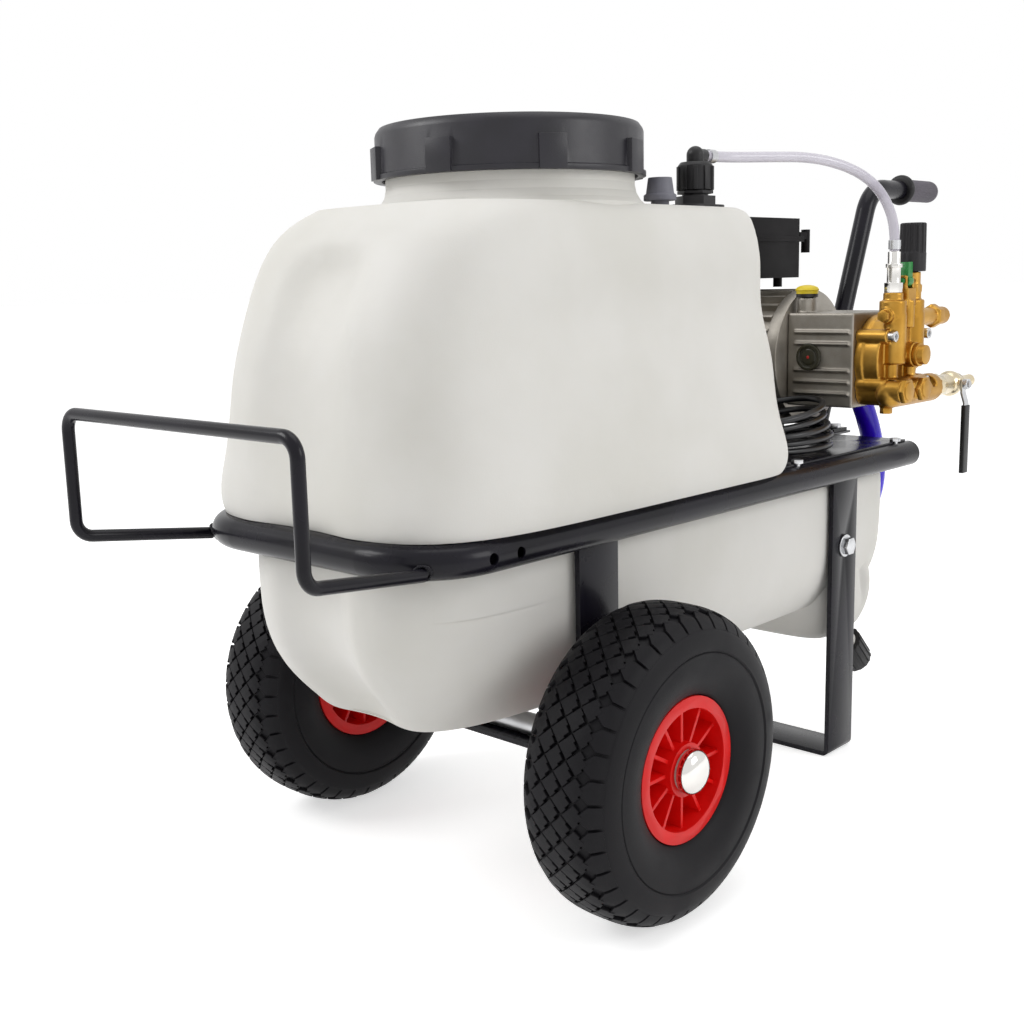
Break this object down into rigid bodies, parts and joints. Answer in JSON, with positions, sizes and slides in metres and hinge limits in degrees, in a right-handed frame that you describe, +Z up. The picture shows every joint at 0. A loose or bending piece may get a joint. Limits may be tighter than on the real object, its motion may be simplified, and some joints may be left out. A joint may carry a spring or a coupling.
{
  "type": "wheeled sprayer cart",
  "caption": "Two-wheeled sprayer cart with a moulded tank in a bent tube frame and an electric plunger pump on a plate at the rear.",
  "frame": {"origin": "on the ground, under the middle of the cart", "axes": "+X towards the handle, +Y to the right-hand wheel, +Z up"},
  "size_m": [1.139, 0.4842, 0.646],
  "materials": {
    "axle_steel": "bright turned steel",
    "cap_plastic": "black polyethylene",
    "tyre": "solid foam, block tread",
    "rim_plastic": "moulded red",
    "bush_plastic": "natural nylon",
    "frame_paint": "blue-black gloss powder coat",
    "zinc": "zinc plated",
    "grip_rubber": "ribbed grip",
    "tank_plastic": "natural translucent polyethylene",
    "lid_plastic": "moulded, near black",
    "seal_rubber": "flat gasket",
    "strainer_plastic": "moulded basket",
    "vent_plastic": "grey",
    "fitting_plastic": "black polypropylene",
    "clear_hose": "clear tube",
    "chrome": "plated brass",
    "motor_alloy": "as-cast fins",
    "steel": "machined",
    "fan_plastic": "black nylon",
    "cowl_paint": "pressed steel, black",
    "box_plastic": "black",
    "rocker_plastic": "red rocker",
    "crank_alloy": "as cast",
    "sight_glass": "dark window in a black rim",
    "oil_plastic": "yellow over black",
    "brass": "forged, sand-blasted",
    "ceramic": "white ceramic sleeve",
    "knob_plastic": "ribbed knob",
    "lever_plastic": "green",
    "sleeve_vinyl": "dipped vinyl",
    "blue_hose": "smooth blue hose",
    "cable": "glossy black rubber"
  },
  "bodies": {
    "cart": {"axle": "axle_steel", "end_caps": "cap_plastic", "frame_tube": "frame_paint", "front_strap": "frame_paint", "rear_strap": "frame_paint", "strap_bolts": "zinc", "pump_plate": "frame_paint", "plate_bolts": "zinc", "handle_tube": "frame_paint", "handle_grip": "grip_rubber", "tank": "tank_plastic", "strainer_basket": "strainer_plastic", "vent_cap": "vent_plastic", "return_adaptor": "fitting_plastic", "return_nut": "fitting_plastic", "return_elbow": "fitting_plastic", "return_hose": "clear_hose", "hose_clamps": "zinc", "return_tail": "chrome", "motor_housing": "motor_alloy", "motor_shields": "motor_alloy", "motor_bearings": "steel", "stator": "steel", "fan_cowl": "cowl_paint", "switch_box_base": "box_plastic", "switch_box_cover": "box_plastic", "crankcase": "crank_alloy", "sight_glass": "sight_glass", "pump_head": "brass", "head_screws": "zinc", "head_plugs": "brass", "valve_body": "chrome", "suction_hose": "blue_hose", "suction_elbow": "fitting_plastic", "drain_cap": "fitting_plastic", "cable_coil": "cable", "cable_lead": "cable", "cable_plug": "cable"},
    "left_wheel": {"left_tyre": "tyre", "left_rim": "rim_plastic", "left_bushes": "bush_plastic"},
    "right_wheel": {"right_tyre": "tyre", "right_rim": "rim_plastic", "right_bushes": "bush_plastic"},
    "lid_ring": {"lid_ring": "lid_plastic"},
    "lid": {"lid_disc": "lid_plastic", "lid_seal": "seal_rubber"},
    "oil_cap": {"oil_cap": "oil_plastic"},
    "regulator_knob": {"regulator_knob": "knob_plastic"},
    "bypass_lever": {"bypass_lever": "lever_plastic"},
    "valve": {"valve_ball": "steel", "valve_lever": "zinc", "lever_sleeve": "sleeve_vinyl"},
    "shaft": {"motor_shaft": "steel", "rotor": "steel", "motor_fan": "fan_plastic"},
    "plunger_a": {"plunger_a": "ceramic"},
    "plunger_b": {"plunger_b": "ceramic"},
    "plunger_c": {"plunger_c": "ceramic"},
    "switch": {"switch_rocker": "rocker_plastic"}
  },
  "joints": [
    {"name": "left_wheel_turn", "type": "hinge", "parent": "cart", "child": "left_wheel", "pos_m": [-0.2605, 0, 0.13], "axis": [0, 1, 0], "continuous": true},
    {"name": "right_wheel_turn", "type": "hinge", "parent": "cart", "child": "right_wheel", "pos_m": [-0.2605, 0, 0.13], "axis": [0, 1, 0], "continuous": true},
    {"name": "lid_lift", "type": "slide", "parent": "cart", "child": "lid", "axis": [0, 0, 1], "range_m": [0, 0.08]},
    {"name": "lid_ring_turn", "type": "hinge", "parent": "lid", "child": "lid_ring", "pos_m": [-0.2085, 0, 0.62], "axis": [0, 0, 1], "range_deg": [0, 360]},
    {"name": "oil_cap_turn", "type": "hinge", "parent": "cart", "child": "oil_cap", "pos_m": [0.1745, -0.072, 0.49], "axis": [0, 0, 1], "range_deg": [0, 360]},
    {"name": "regulator_turn", "type": "hinge", "parent": "cart", "child": "regulator_knob", "pos_m": [0.222, -0.167, 0.53], "axis": [0, 0, 1], "range_deg": [0, 720]},
    {"name": "bypass_swing", "type": "hinge", "parent": "cart", "child": "bypass_lever", "pos_m": [0.2025, -0.1705, 0.5055], "axis": [1, 0, 0], "range_deg": [0, 90]},
    {"name": "valve_turn", "type": "hinge", "parent": "cart", "child": "valve", "pos_m": [0.3095, -0.172, 0.392], "axis": [0, -1, 0], "range_deg": [0, 90]},
    {"name": "shaft_turn", "type": "hinge", "parent": "cart", "child": "shaft", "pos_m": [0.2065, 0, 0.425], "axis": [0, 1, 0], "continuous": true},
    {"name": "plunger_a_slide", "type": "slide", "parent": "cart", "child": "plunger_a", "axis": [0, -1, 0], "range_m": [0, 0.005]},
    {"name": "plunger_b_slide", "type": "slide", "parent": "cart", "child": "plunger_b", "axis": [0, -1, 0], "range_m": [0, 0.005]},
    {"name": "plunger_c_slide", "type": "slide", "parent": "cart", "child": "plunger_c", "axis": [0, -1, 0], "range_m": [0, 0.005]},
    {"name": "switch_tilt", "type": "hinge", "parent": "cart", "child": "switch", "pos_m": [0.2565, 0.061, 0.5325], "axis": [0, 1, 0], "range_deg": [-8, 8]}
  ]
}
